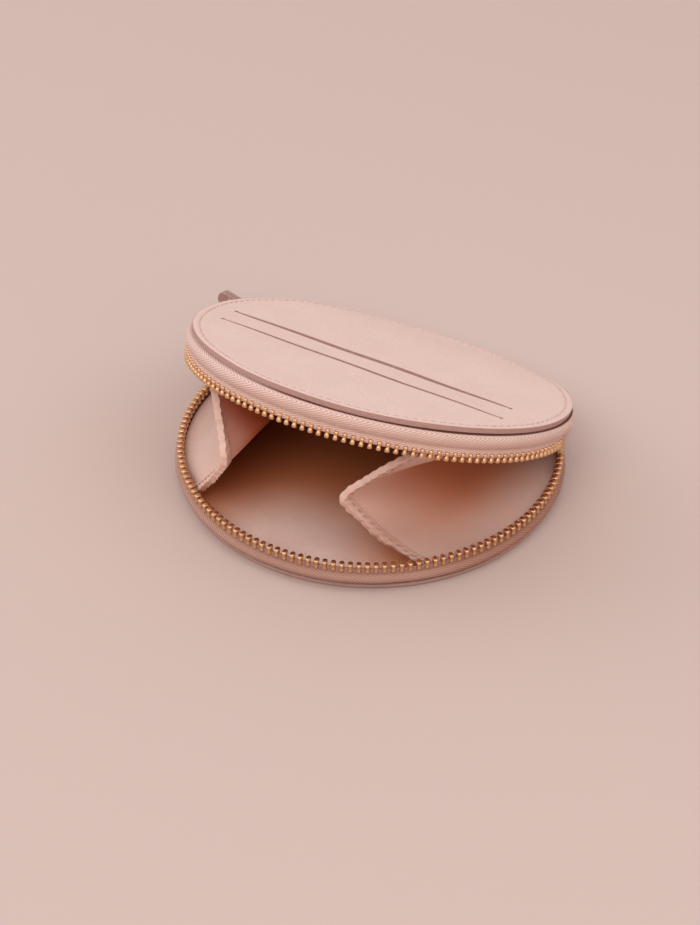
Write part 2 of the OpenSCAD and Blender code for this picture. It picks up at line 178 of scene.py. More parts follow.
class PurseFinish(bpy.types.PropertyGroup):
    """Colours of the purse's finishes and of the floor."""

    leather: colour("Leather", "Outer leather", 230, 199, 190)
    leather_deep: colour("Leather shade", "Darker clouds in the outer leather", 225, 193, 183)
    cut_edge: colour("Cut edge", "Painted cut edge of the outer leather", 184, 144, 135)
    lining: colour("Lining", "Smooth lining and gussets", 225, 191, 180)
    # Painted light: a paler copy of the lining colour, for the linings of base and lid.
    lining_pale: colour("Pale lining", "Lining of base and lid at the mouth", 239, 207, 195)
    lining_deep: colour("Lining shade", "Darker clouds in the lining", 216, 178, 165)
    # Painted shade: the lining's browner colour deep inside, where little light reaches.
    lining_inner: colour("Inner lining", "Browner tone of the lining, deep inside", 200, 126, 84)
    # Painted shade along the right gusset's hem.
    lining_dull: colour("Dull lining", "Tone of the right gusset along its hem", 184, 148, 136)
    # Painted shade: the lining's darkest colour, towards the hinge.
    lining_core: colour("Core lining", "Darkest tone of the lining, towards the hinge", 150, 84, 48)
    tape: colour("Tape", "Woven zip tape", 237, 208, 199)
    tape_seam: colour("Tape seam", "Shaded strip of the tape along its seam", 96, 56, 46)
    # Painted shadow: the darkest colour of the lower tape's seam strip.
    tape_gap: colour("Tape gap", "Darkest part of the lower tape's seam", 44, 14, 6)
    tape_deep: colour("Tape shade", "Valleys between the tape's ribs", 192, 150, 138)
    # Painted shade multiplied into the lower tape's weave, fully along its right side.
    tape_low: colour("Lower tape", "Stain that browns the lower tape's weave", 191, 164, 150)
    metal: colour("Metal", "Gold plating of the zip", 234, 191, 149)
    thread: colour("Thread", "Sewing thread", 222, 188, 176)
    # The gussets' hem thread: its own colour, darkened as painted shade in the crease along the stitches.
    hem_thread: colour("Hem thread", "Thread of the gussets' hems", 192, 152, 138)
    pull: colour("Pull", "Leather of the pull", 152, 117, 108)
    slot: colour("Slot end", "Punched dots at the ends of the card slots", 120, 84, 76)
    board: colour("Board", "Stiffening board", 168, 138, 116)
    pocket: colour("Pocket", "Cloth of the card pockets", 166, 128, 118)
    floor: colour("Floor", "Floor", 201, 179, 172)


# Shapes


def smooth(t):
    """Eases from 0 to 1 with level ends: 3 t squared less 2 t cubed."""
    t = np.clip(t, 0, 1)
    return t * t * (3 - 2 * t)


def mix(a, b, t):
    return a + (b - a) * t


def bell(distance, width):
    """A bell curve of height 1: e to the minus square of distance over width."""
    return np.exp(-((distance / width) ** 2))


def power(value, exponent):
    """A power that keeps the sign, for rounded outlines."""
    return np.sign(value) * np.abs(value) ** exponent


def unit(vectors):
    """Vectors of length 1."""
    return vectors / np.linalg.norm(vectors, axis=-1)[..., None]


def run_along(line):
    """Distance of each point of a line from its start, along the line."""
    return np.append(0, np.cumsum(np.linalg.norm(np.diff(line, axis=0), axis=1)))


def bezier(knots, t):
    """Bezier curve by Bernstein weights: the sum of each knot times its binomial, t and 1 - t powers."""
    degree = len(knots) - 1
    weights = [math.comb(degree, k) * t**k * (1 - t) ** (degree - k) for k in range(degree + 1)]
    return sum(w[..., None] * np.asarray(knot) for w, knot in zip(weights, knots))


def around(turn, radius, height):
    """Points at an angle from the hinge, anticlockwise from above: x = -r sin, y = r cos."""
    turn, radius, height = np.broadcast_arrays(turn, radius, height)
    return np.stack([-radius * np.sin(turn), radius * np.cos(turn), height], -1)


def lift(points, size, share=1.0):
    """Turns points of the shut purse about the hinge by a share of the angle at which the lid stands."""
    turn = np.asarray(share) * size.lid_open
    dy, dz = points[..., 1] - hinge_y, points[..., 2] - hinge_z
    c, s = np.cos(turn), np.sin(turn)
    return np.stack([points[..., 0], hinge_y + dy * c + dz * s, hinge_z + dz * c - dy * s], -1)


def flip(points, size):
    """Mirrors points in the middle plane of the shut purse, from base to lid or back."""
    return np.stack([points[..., 0], points[..., 1], size.closed_height - points[..., 2]], -1)


def hinge_share(points, size):
    """Share of the lid's motion in soft sheets: a point's angle above the hinge over the lid's angle."""
    turn = np.arctan2(points[..., 2] - hinge_z, hinge_y - points[..., 1])
    return np.clip(turn / size.lid_open, 0, 1)


def lid_drop(x, y, size):
    """Height of the lid off its plane: faint waves, and a drop that eases in to the soft rear edge."""
    stiff = 0.018
    rear = smooth((y - stiff) / (size.panel_radius - stiff)) ** 2
    waves = 0.00010 * np.sin(x * 88 + 1) * np.sin(y * 61 + 0.6) + 0.00006 * np.sin(x * 190 - y * 140)
    return waves - size.back_droop * rear


def settle(points, size):
    """Carries points of the lid's plane onto the soft lid, and turns them with it."""
    points[..., 2] += lid_drop(points[..., 0], points[..., 1], size)
    return lift(points, size)


def quads(rows, cols, closed=False):
    """Faces of a grid of points, row by row, whose columns may close into a ring."""
    i = np.arange(rows - 1)[:, None]
    j = np.arange(cols if closed else cols - 1)[None, :]
    k = (j + 1) % cols
    corners = [i * cols + j, i * cols + k, (i + 1) * cols + k, (i + 1) * cols + j]
    return np.stack(corners, -1).reshape(-1, 4)


def join(*parts):
    """Joins (points, faces) pairs into one pair, with the faces counted on."""
    starts = np.cumsum([0] + [len(p.reshape(-1, 3)) for p, _ in parts[:-1]])
    points = np.concatenate([p.reshape(-1, 3) for p, _ in parts])
    return points, np.concatenate([f + n for (_, f), n in zip(parts, starts)])


def loft(rings):
    """A closed solid that faces outwards: rings of points, capped by the middles of the end rings."""
    ends = [np.repeat(ring.mean(0)[None], len(ring), 0)[None] for ring in (rings[0], rings[-1])]
    rings = np.concatenate([ends[0], rings, ends[1]])
    faces = quads(rings.shape[0], rings.shape[1], True)
    points = rings.reshape(-1, 3)
    a, b, c, d = (points[faces[:, k]] for k in range(4))
    volume = np.sum(np.cross(b, c) * a) + np.sum(np.cross(c, d) * a)
    return points, faces if volume > 0 else faces[:, ::-1]


def slab(outline, low, high, rounding):
    """A plate between two depths along X, from an outline in Y and Z, its edges drawn in by a round."""
    reach = np.abs(outline).max()
    rings = [(low, rounding), (low + rounding / 3, rounding / 3), (low + rounding, 0)]
    rings += [(high - rounding, 0), (high - rounding / 3, rounding / 3), (high, rounding)]
    levels = [
        np.column_stack([np.full(len(outline), x), outline * (1 - inset / reach)])
        for x, inset in rings
    ]
    return loft(np.stack(levels))


def shell(grid, thickness):
    """A sheet with two faces: a grid set off both ways along its normals, and a border that joins them.

    A normal is the cross product of the grid's differences along its columns and its rows."""
    normal = np.cross(np.gradient(grid, axis=1), np.gradient(grid, axis=0))
    offset = unit(normal) * np.asarray(thickness)[..., None] / 2
    rows, cols = grid.shape[:2]
    front = quads(rows, cols)
    index = np.arange(rows * cols).reshape(rows, cols)
    edge = np.concatenate([index[0, :-1], index[:-1, -1], index[-1, :0:-1], index[:0:-1, 0]])
    ahead = np.roll(edge, -1)
    border = np.stack([ahead, edge, edge + index.size, ahead + index.size], -1)
    faces = np.concatenate([front, front[:, ::-1] + index.size, border])
    return np.stack([grid + offset, grid - offset]), faces


def sweep(path, across, section, closed):
    """A section carried along a path, its points set off along the path's side and across vectors."""
    if closed:
        ahead = np.roll(path, -1, 0) - np.roll(path, 1, 0)
    else:
        ahead = np.gradient(path, axis=0)
    side = np.cross(unit(ahead), across)
    points = path[:, None] + section[None, :, :1] * side[:, None] + section[None, :, 1:] * across
    if not closed:
        return loft(points)
    faces = quads(len(path) + 1, len(section), True) % (len(path) * len(section))
    return points.reshape(-1, 3), faces


def repeat(shape, axes, places):
    """Copies of one solid: its points times each copy's three axes, plus each copy's place."""
    points, faces = shape
    copies = np.einsum("pk,nkx->npx", points, axes) + places[:, None]
    offsets = np.arange(len(places))[:, None, None] * len(points)
    return copies, (faces[None] + offsets).reshape(-1, 4)


def ring_section(count, half_x, half_y, exponent=1.0):
    """A rounded outline: cosine and sine, each to a power that squares it off."""
    turn = (np.arange(count) + 0.5) * FULL_TURN / count
    x, y = power(np.cos(turn), exponent), power(np.sin(turn), exponent)
    return np.column_stack([half_x * x, half_y * y])


def stitch(size):
    """One stitch lying along X: an oval thread whose girth swells and closes along half a turn."""
    sides = 6
    girth = ring_section(sides, 0.5, 0.42) * size.thread
    rings = []
    for a in np.linspace(-1.25, 1.25, 5):
        along = np.full(sides, math.sin(a) * size.stitch_length / 2)
        rings.append(np.column_stack([along, girth * math.cos(a) ** 0.5]))
    return loft(np.stack(rings))


def stitches_on(points, ahead, up, size, slant=0.12):
    """Stitches at points of a seam, laid along its run with a slight slant."""
    ahead, up = unit(ahead), unit(up)
    along = ahead * math.cos(slant) + np.cross(up, ahead) * math.sin(slant)
    return repeat(stitch(size), np.stack([along, np.cross(up, along), up], 1), points)


def seam_circle(size):
    """Radius of a panel's seam, and the angles of as many stitches as fit round it."""
    radius = size.panel_radius - size.seam_inset
    count = round(FULL_TURN * radius / size.stitch_pitch)
    return radius, np.arange(count) * FULL_TURN / count


# Blender objects


def build(
    name, shape, look, slot, stands_for="", body="",
    uv=None, marks=None, weld=True, thick=0.0, offset=0.0, soft=0.0,
):
    """A mesh object at the origin from points and faces, with its own map, point marks and finish.

    A sheet is thickened to both sides, or inwards at an offset of -1, and sharp edges are softened.
    The piece stands for a node of the solids and rides on a body, where these are named."""
    mesh = bpy.data.meshes.new(name)
    mesh.from_pydata(np.reshape(shape[0], (-1, 3)).tolist(), [], np.asarray(shape[1]).tolist())
    for label, values in (marks or {}).items():
        layer = mesh.attributes.new(label, "FLOAT", "POINT")
        layer.data.foreach_set("value", np.ravel(values).astype(np.float32))
    if uv is not None:
        corners = np.empty(len(mesh.loops), np.int32)
        mesh.loops.foreach_get("vertex_index", corners)
        layer = mesh.uv_layers.new(name="Cloth")
        layer.data.foreach_set("uv", np.reshape(uv, (-1, 2))[corners].ravel().astype(np.float32))
    if weld:
        work = bmesh.new()
        work.from_mesh(mesh)
        bmesh.ops.remove_doubles(work, verts=work.verts, dist=1e-6)
        work.to_mesh(mesh)
        work.free()
    mesh.polygons.foreach_set("use_smooth", [True] * len(mesh.polygons))
    mesh.materials.append(finish(look))
    piece = bpy.data.objects.new(name, mesh)
    bpy.context.scene.collection.objects.link(piece)
    if thick:
        wall = piece.modifiers.new("Thickness", "SOLIDIFY")
        wall.thickness, wall.offset = thick, offset
        wall.use_even_offset = True
    if soft:
        edge = piece.modifiers.new("Soft edge", "BEVEL")
        edge.width, edge.segments = soft, 2
        edge.limit_method, edge.angle_limit = "ANGLE", math.radians(50)
        piece.modifiers.new("Even shading", "WEIGHTED_NORMAL")
    if stands_for:
        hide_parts(stands_for)
    if body:
        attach(piece, body)
    return piece


def bend(piece, size, shares):
    """Lets a soft piece follow base and lid, each point by its own share of the lid's motion."""
    low = (0, 0, hinge_z)
    high = (0, 0, hinge_z + hinge_y * math.tan(size.lid_open))
    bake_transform(piece, "base", "lid", start=low, end=high)
    weights = piece.data.attributes["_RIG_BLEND"].data
    weights.foreach_set("value", np.ravel(shares).astype(np.float32))


# Materials


def fill(tree, made, inputs):
    """Gives a node its inputs: a socket is linked, and any other value is set."""
    for key, value in dict(inputs).items():
        if isinstance(value, bpy.types.NodeSocket):
            tree.links.new(value, made.inputs[key])
        else:
            made.inputs[key].default_value = value


def node(tree, kind, inputs=(), **settings):
    """Adds a shader node with its settings and inputs."""
    made = tree.nodes.new(kind)
    for key, value in settings.items():
        setattr(made, key, value)
    fill(tree, made, inputs)
    return made


def math_node(tree, operation, *values):
    return node(tree, "ShaderNodeMath", enumerate(values), operation=operation).outputs[0]


def vector_node(tree, operation, *values, output="Vector"):
    return node(tree, "ShaderNodeVectorMath", enumerate(values), operation=operation).outputs[output]


def mix_colour(tree, factor, first, second, way="MIX"):
    inputs = {0: factor, 6: first, 7: second}
    return node(tree, "ShaderNodeMix", inputs, data_type="RGBA", blend_type=way).outputs[2]


def ramp(tree, value, low, high, to_low=0.0, to_high=1.0):
    """A value stretched so that low becomes 0 and high becomes 1, or two other ends."""
    inputs = enumerate((value, low, high, to_low, to_high))
    return node(tree, "ShaderNodeMapRange", inputs).outputs[0]


def place_of(tree):
    return node(tree, "ShaderNodeTexCoord").outputs["Object"]


def map_of(tree):
    return node(tree, "ShaderNodeUVMap", uv_map="Cloth").outputs[0]


def mark_of(tree, label):
    return node(tree, "ShaderNodeAttribute", attribute_name=label).outputs["Fac"]


def noise(tree, where, scale, detail=2.0, roughness=0.5):
    inputs = {"Vector": where, "Scale": scale, "Detail": detail, "Roughness": roughness}
    return node(tree, "ShaderNodeTexNoise", inputs).outputs["Fac"]


def bump(tree, height, distance, strength=1.0):
    inputs = {"Height": height, "Distance": distance, "Strength": strength}
    return node(tree, "ShaderNodeBump", inputs).outputs[0]


def tone(key):
    """The user's colour of that name."""
    return tuple(getattr(bpy.context.scene.purse_finish, key))


def dimmed(light, share):
    return tuple(c * share for c in light[:3]) + (1.0,)


def group(name, inputs, outputs, wire):
    """A shader node group with named sockets; wire makes its inside and names what goes out."""
    if name in bpy.data.node_groups:
        return bpy.data.node_groups[name]
    tree = bpy.data.node_groups.new(name, "ShaderNodeTree")
    for label, kind, default in inputs:
        socket = tree.interface.new_socket(label, in_out="INPUT", socket_type="NodeSocket" + kind)
        if default is not None:
            socket.default_value = default
    for label, kind in outputs:
        tree.interface.new_socket(label, in_out="OUTPUT", socket_type="NodeSocket" + kind)
    given = tree.nodes.new("NodeGroupInput").outputs
    fill(tree, tree.nodes.new("NodeGroupOutput"), wire(tree, given))
    return tree


def wire_grain(tree, given):
    """Pebbles from smooth cells and fine noise; the valleys between pebbles make the mask."""
    where, scale = given["Vector"], given["Scale"]
    cells = node(tree, "ShaderNodeTexVoronoi", {"Vector": where, "Scale": scale}, feature="SMOOTH_F1")
    fine = noise(tree, where, math_node(tree, "MULTIPLY", scale, 2.6), 4.0)
    far = cells.outputs["Distance"]
    height = math_node(tree, "MULTIPLY_ADD", fine, 0.6, math_node(tree, "MULTIPLY", far, -0.7))
    return {"Height": height, "Valley": ramp(tree, far, 0.25, 0.75)}


def grain_group():
    inputs = [("Vector", "Vector", None), ("Scale", "Float", 1200.0)]
    return group("Leather grain", inputs, [("Height", "Float"), ("Valley", "Float")], wire_grain)


def wire_clouds(tree, given):
    """Two colours mixed by broad, soft noise."""
    spread = ramp(tree, noise(tree, given["Vector"], given["Scale"], 3.0, 0.6), 0.3, 0.7)
    return {"Color": mix_colour(tree, spread, given["Light"], given["Shade"])}


def cloud_group():
    white = (1.0, 1.0, 1.0, 1.0)
    inputs = [("Vector", "Vector", None), ("Scale", "Float", 60.0)]
    inputs += [("Light", "Color", white), ("Shade", "Color", white)]
    return group("Soft clouds", inputs, [("Color", "Color")], wire_clouds)


def start_material(name, roughness):
    material = bpy.data.materials.new(name)
    material.use_nodes = True
    tree = material.node_tree
    surface = tree.nodes["Principled BSDF"]
    surface.inputs["Roughness"].default_value = roughness
    return material, tree, surface


def slot_dots(tree, tint):
    """Darkens the punched ends of the card slots: dots in the lid's own map, mirrored along the slot."""
    size = bpy.context.scene.purse_sizes
    for slot_y, shift in ((size.slot_front, 0.0), (size.slot_rear, size.slot_shift)):
        plane = vector_node(tree, "ADD", map_of(tree), (shift, 0.0, 0.0))
        along = vector_node(tree, "MULTIPLY", plane, (1.0, 0.0, 0.0))
        across = vector_node(tree, "MULTIPLY", plane, (0.0, 1.0, 0.0))
        folded = vector_node(tree, "ADD", vector_node(tree, "ABSOLUTE", along), across)
        end = (size.slot_length / 2, slot_y, 0.0)
        apart = vector_node(tree, "DISTANCE", folded, end, output="Value")
        tint = mix_colour(tree, ramp(tree, apart, 0.0008, 0.0004), tint, tone("slot"))
    return tint


def leather_material(
    name, light, shade, marked=(), scale=1100.0, depth=0.0002, roughness=0.55, dots=False, thin=0.0
):
    """Leather: cloudy colour, darker valleys, pebble bump, and other colours where the piece is marked.

    Marks are given with their colour and the values between which it comes in. Thin leather lets some
    warm light through."""
    material, tree, surface = start_material(name, roughness)
    where = place_of(tree)
    shades = {"Vector": where, "Scale": 70.0, "Light": tone(light), "Shade": tone(shade)}
    clouds = node(tree, "ShaderNodeGroup", shades, node_tree=cloud_group())
    pebbles = {"Vector": where, "Scale": scale}
    grain = node(tree, "ShaderNodeGroup", pebbles, node_tree=grain_group())
    valley = grain.outputs["Valley"]
    deep = math_node(tree, "MULTIPLY", valley, 0.6)
    tint = mix_colour(tree, deep, clouds.outputs["Color"], tone(shade))
    for label, other, low, high in marked:
        tint = mix_colour(tree, ramp(tree, mark_of(tree, label), low, high), tint, tone(other))
    if dots:
        tint = slot_dots(tree, tint)
    inputs = {
        "Base Color": tint,
        "Roughness": ramp(tree, valley, 0.0, 1.0, roughness - 0.06, roughness + 0.1),
        "Normal": bump(tree, grain.outputs["Height"], depth, 0.8),
        "Subsurface Weight": thin,
        "Subsurface Radius": (1.0, 0.52, 0.3),
        "Subsurface Scale": 0.003,
    }
    fill(tree, surface, inputs)
    return material


def tape_material(name, rib_pitch=0.0014, rib_slant=2.2, yarn_pitch=0.00028, spine_at=0.0009):
    """Woven tape from its own map, along and across in metres: ribs that slant away from a spine.

    The mark "low" says how far painted shade on the lower tape is multiplied in. The mark "gap" says how
    dark the painted shadow along the seam is; above 1 it also widens that strip and deepens its colour."""
    material, tree, surface = start_material(name, 0.75)
    along, across, _ = node(tree, "ShaderNodeSeparateXYZ", {0: map_of(tree)}).outputs
    spine = math_node(tree, "ABSOLUTE", math_node(tree, "SUBTRACT", across, spine_at))
    slanted = math_node(tree, "MULTIPLY_ADD", spine, rib_slant, along)
    wave = math_node(tree, "SINE", math_node(tree, "MULTIPLY", slanted, FULL_TURN / rib_pitch))
    yarn = math_node(tree, "SINE", math_node(tree, "MULTIPLY", across, FULL_TURN / yarn_pitch))
    valley = math_node(tree, "SUBTRACT", 1.0, ramp(tree, wave, -1.0, 0.6))
    fuzz = noise(tree, place_of(tree), 2500.0)
    shade = math_node(tree, "MULTIPLY_ADD", fuzz, 0.3, math_node(tree, "MULTIPLY", valley, 0.7))
    weave = mix_colour(tree, shade, tone("tape"), tone("tape_deep"))
    # Painted shade multiplied into the weave where the tape is marked low.
    painted_shade = mix_colour(tree, mark_of(tree, "low"), weave, tone("tape_low"), "MULTIPLY")
    # Painted shadow along the seam, from the mark gap.
    gap = mark_of(tree, "gap")
    near = math_node(tree, "DIVIDE", across, math_node(tree, "MAXIMUM", gap, 1.0))
    shaded = math_node(tree, "MULTIPLY", ramp(tree, near, 0.00035, 0.0001), gap)
    shadow = mix_colour(tree, ramp(tree, gap, 1.0, 2.0), tone("tape_seam"), tone("tape_gap"))
    height = math_node(tree, "MULTIPLY_ADD", yarn, 0.12, ramp(tree, wave, -1.0, 1.0, 0.5, 1.0))
    inputs = {
        "Base Color": mix_colour(tree, shaded, painted_shade, shadow),
        "Normal": bump(tree, height, 0.00015, 0.85),
        "Specular IOR Level": 0.15,
        "Sheen Weight": 0.08,
        "Sheen Tint": (0.9, 0.62, 0.54, 1.0),
        "Sheen Roughness": 0.4,
    }
    fill(tree, surface, inputs)
    return material


def metal_material(name, light):
    """Gold plating: polished, with faint smears in its gloss and a softer tone in them."""
    material, tree, surface = start_material(name, 0.24)
    smear = noise(tree, place_of(tree), 420.0, 3.0)
    dull = dimmed(tone(light), 0.8)
    inputs = {
        "Base Color": mix_colour(tree, ramp(tree, smear, 0.35, 0.75), tone(light), dull),
        "Roughness": ramp(tree, smear, 0.0, 1.0, 0.22, 0.42),
        "Metallic": 1.0,
    }
    fill(tree, surface, inputs)
    return material


def cloth_material(name, light, scale=2600.0, depth=0.00006):
    """Plain woven cloth or thread: crossed waves make the yarns, and noise breaks their colour."""
    material, tree, surface = start_material(name, 0.8)
    where = place_of(tree)
    wave = {"Vector": where, "Scale": scale / 6, "Distortion": 1.0}
    yarns = [node(tree, "ShaderNodeTexWave", wave, bands_direction=way) for way in ("X", "Y")]
    height = math_node(tree, "ADD", *(yarn.outputs["Fac"] for yarn in yarns))
    spread = ramp(tree, noise(tree, where, scale / 4), 0.35, 0.8)
    inputs = {
        "Base Color": mix_colour(tree, spread, tone(light), dimmed(tone(light), 0.72)),
        "Normal": bump(tree, height, depth),
    }
    fill(tree, surface, inputs)
    return material


# Marks of painted shade: browner inwards, and darkest towards the hinge.
PAINTED_SHADE = ("inner", "lining_inner", 0.0, 1.0)
PAINTED_DEEP_SHADE = ("core", "lining_core", 0.0, 1.0)
SMOOTH = {"scale": 2200.0, "depth": 0.00003, "roughness": 0.5}
FINISHES = {
    "Blush leather": (
        leather_material,
        # Outer leather with its cut edge, and painted shade where it is marked inner.
        ("leather", "leather_deep", (("edge", "cut_edge", 0.35, 0.9), PAINTED_SHADE)),
        {"dots": True},
    ),
    "Pull leather": (leather_material, ("pull", "cut_edge"), {}),
    # Base and lid linings: a painted light tone, with painted shade inwards.
    "Smooth lining": (leather_material, ("lining_pale", "lining", (PAINTED_SHADE, PAINTED_DEEP_SHADE)), SMOOTH),
    # Gusset leather: painted shade, dull along the hem, browner inwards and darkest towards the hinge.
    "Gusset leather": (
        leather_material,
        ("lining", "lining_deep", (("dull", "lining_dull", 0.0, 1.0), PAINTED_SHADE, PAINTED_DEEP_SHADE)),
        {**SMOOTH, "thin": 0.5},
    ),
    "Herringbone tape": (tape_material, (), {}),
    "Gold plating": (metal_material, ("metal",), {}),
    "Sewing thread": (cloth_material, ("thread", 5000.0, 0.00004), {}),
    "Hem thread": (cloth_material, ("hem_thread", 5000.0, 0.00004), {}),
    "Fibre board": (cloth_material, ("board", 1500.0, 0.00003), {}),
    "Pocket cloth": (cloth_material, ("pocket",), {}),
}


def finish(name):
    """The finish of that name, made on its first use from the user's colours."""
    if name in bpy.data.materials:
        return bpy.data.materials[name]
    maker, values, settings = FINISHES[name]
    return maker(name, *values, **settings)


# Pieces


def leather_face(size, slits, roll):
    """The show face of a panel, level with the closed height.

    Inside, rows of constant y fill the disc, each as long as its chord, in three bands split at the two
    slots; a slot's lips part by a lens, widest at the middle, that fades away from it. Outside, rings
    carry the stitch groove, a bell curve about the seam, and the roll of the edge."""
    border, lip_fade, groove_width, groove_depth = 0.0055, 0.004, 0.0004, 0.00026
    inner = size.panel_radius - border
    half = size.slot_length / 2
    lines = np.array([size.slot_front, size.slot_rear])
    front, rear = np.arcsin(lines / inner)
    near = 0.0004 / inner
    bands = [
        np.append(np.linspace(-np.pi / 2, front - near, 40), front),
        np.concatenate([[front], np.linspace(front + near, rear - near, 9), [rear]]),
        np.insert(np.linspace(rear + near, np.pi / 2, 60), 0, rear),
    ]
    across = np.linspace(-1, 1, 121)
    gapes = np.array([size.front_gape, size.rear_gape]) * slits
    parts, marks = [], []
    for number, turn in enumerate(bands):
        x = inner * np.cos(turn)[:, None] * across
        flat_y = np.broadcast_to(inner * np.sin(turn)[:, None], x.shape)
        y = flat_y.copy()
        lip = np.zeros_like(x)
        ways = (1 if number > 0 else -1, 1 if number > 1 else -1)
        for line, gape, way, shift in zip(lines, gapes, ways, (0, size.slot_shift)):
            lens = gape * np.clip(1 - ((x + shift) / half) ** 2, 0, None) ** 0.4
            y += way * lens / 2 * np.exp(-np.abs(flat_y - line) / lip_fade)
            lip = np.maximum(lip, (np.abs(flat_y - line) < 1e-6) * (lens > 0))
        parts.append((np.stack([x, y, np.zeros_like(x)], -1), quads(*x.shape)))
        marks.append(lip.ravel())
    rim = np.concatenate([bands[0], bands[1][1:], bands[2][1:]])
    rim = np.concatenate([rim, (np.pi - rim[::-1])[1:-1]])
    seam, stitches = seam_circle(size)
    close = seam + np.array([-8, -5, -3, -1.5, 0, 1.5, 3, 5]) / 10000
    inside = np.linspace(inner, close[0], 4)[:-1]
    outside = np.linspace(close[-1], size.panel_radius, 5)[1:]
    radius = np.concatenate([inside, close, outside])[:, None]
    holes = 0.75 + 0.25 * np.cos(rim * len(stitches))
    groove = -groove_depth * bell(radius - seam, groove_width) * holes
    edge = -roll * smooth((radius - seam - groove_width) / 0.0016) ** 2
    ring = np.stack([radius * np.cos(rim), radius * np.sin(rim), groove + edge], -1)
    parts.append((ring, quads(*ring.shape[:2], True)[:, ::-1]))
    cut = np.broadcast_to(radius > size.panel_radius - 1e-5, ring.shape[:2])
    marks.append(cut.astype(float).ravel())
    points, faces = join(*parts)
    points[:, 2] += size.closed_height
    return points, faces, np.concatenate(marks)


def disc(radius, height, steps=26, count=144):
    """A round sheet: rings of growing radius about the middle."""
    r = np.linspace(0, 1, steps)[:, None] * radius
    turn = np.linspace(0, FULL_TURN, count, endpoint=False)
    return around(turn, r, height), quads(steps, count, True)


def border_stitches(body, seam, up, size):
    """The stitches round a panel, each along the line between its neighbours."""
    ahead = np.roll(seam, -1, 0) - np.roll(seam, 1, 0)
    shape = stitches_on(seam, ahead, np.broadcast_to(up, seam.shape), size)
    build(body + "_stitches", shape, "Sewing thread", "thread", body + "_thread", body)


class PURSE_OT_lid_leather(bpy.types.Operator):
    """Makes the lid's leather with its two card slots, and the stitches of its border"""

    bl_idname = "purse.lid_leather"
    bl_label = "Lid leather"

    def execute(self, context):
        size = context.scene.purse_sizes
        points, faces, edge = leather_face(size, True, size.lid_roll)
        build(
            "lid_leather", (settle(points, size), faces), "Blush leather", "leather", "lid_panel", "lid",
            uv=points[:, :2], marks={"edge": edge},
            thick=size.leather - SKIN, offset=-1.0, soft=PANEL_EDGE,
        )
        radius, turn = seam_circle(size)
        sunk = 0.0001
        seam = settle(around(turn, radius, size.closed_height - sunk), size)
        hinge = np.array([0, hinge_y, hinge_z])
        border_stitches("lid", seam, lift(hinge + UP, size) - hinge, size)
        return {"FINISHED"}


class PURSE_OT_base_leather(bpy.types.Operator):
    """Makes the base's leather, the stitches on its underside and the finish of its board"""

    bl_idname = "purse.base_leather"
    bl_label = "Base leather"

    def execute(self, context):
        size = context.scene.purse_sizes
        points, faces, edge = leather_face(size, False, size.base_roll)
        inner = points.copy()
        inner[:, 2] = size.closed_height - size.leather + SKIN
        outer = np.flatnonzero(edge)
        ahead = np.roll(outer, -1)
        wall = np.stack([outer, ahead, ahead + len(points), outer + len(points)], -1)
        shape = (
            flip(np.concatenate([points, inner]), size),
            np.concatenate([faces[:, ::-1], faces + len(points), wall]),
        )
        build(
            "base_leather", shape, "Blush leather", "leather", "base_panel", "base",
            marks={"edge": np.concatenate([edge, edge])}, soft=PANEL_EDGE,
        )
        radius, turn = seam_circle(size)
        sunk = 0.00022
        border_stitches("base", around(turn, radius, sunk), -UP, size)

        board = frame["nodes"]["base_board"]
        board.data.materials.clear()
        board.data.materials.append(finish("Fibre board"))
        return {"FINISHED"}


class PURSE_OT_linings(bpy.types.Operator):
    """Makes the smooth linings of base and lid, with the faint waves of soft leather"""

    bl_idname = "purse.linings"
    bl_label = "Linings"

    def execute(self, context):
        size = context.scene.purse_sizes
        mouth_x, mouth_y, lid_room = 0.002, -0.050, 0.001
        radius = size.panel_radius - size.tape_exit - LINING_GAP
        middle = size.leather + BOARD + size.lining / 2
        base, faces = disc(radius, middle)
        x, y = base[..., 0], base[..., 1]
        base[..., 2] += 0.00012 * np.sin(x * 120 + 0.7) * np.sin(y * 90)
        # Painted shade: the linings brown and darken with distance from a point at the mouth; the lid's
        # lining browns a fifth as much.
        away = np.hypot(x - mouth_x, y - mouth_y)
        inner = smooth((away - 0.011) / 0.025)
        core = smooth((away - 0.026) / 0.030)
        lid = settle(flip(disc(radius - lid_room, middle)[0], size), size)
        for body, points, marks in (
            ("base", base, {"inner": inner, "core": core}),
            ("lid", lid, {"inner": inner / 5}),
        ):
            name = body + "_lining"
            build(
                name + "_leather", (points, faces), "Smooth lining", "lining", name, body,
                marks=marks, thick=size.lining - 0.00006, soft=SOFT_EDGE,
            )
        return {"FINISHED"}


class PURSE_OT_card_pockets(bpy.types.Operator):
    """Makes the cloth sheets of the two card pockets, between the lid's leather and its lining"""

    bl_idname = "purse.card_pockets"
    bl_label = "Card pockets"

    def execute(self, context):
        size = context.scene.purse_sizes
        radius, lip, cloth = POCKET_RADIUS, 0.004, 0.0002
        for place, slot_y, depth in (
            ("rear", size.slot_rear, 0.00022),
            ("front", size.slot_front, 0.00052),
        ):
            front = slot_y - lip
            start = math.asin(front / radius)
            turn = np.linspace(start, math.pi / 2 - 0.02, 40)[:, None]
            x = radius * np.cos(turn) * np.linspace(-1, 1, 41)
            y = np.broadcast_to(radius * np.sin(turn), x.shape)
            height = np.full(x.shape, size.closed_height - size.leather - depth)
            shape = settle(np.stack([x, y, height], -1), size), quads(*x.shape)
            pocket = build(
                place + "_pocket_cloth", shape, "Pocket cloth", "pocket", place + "_card_pocket", "lid",
                thick=cloth,
            )
        return {"FINISHED"}


def tooth_foot(size, reach):
    """Height of a row's feet above its panel's outer face: an even share of the height, plus a reach."""
    return size.closed_height / 2 - size.row_gap / 2 - size.tooth_height + reach


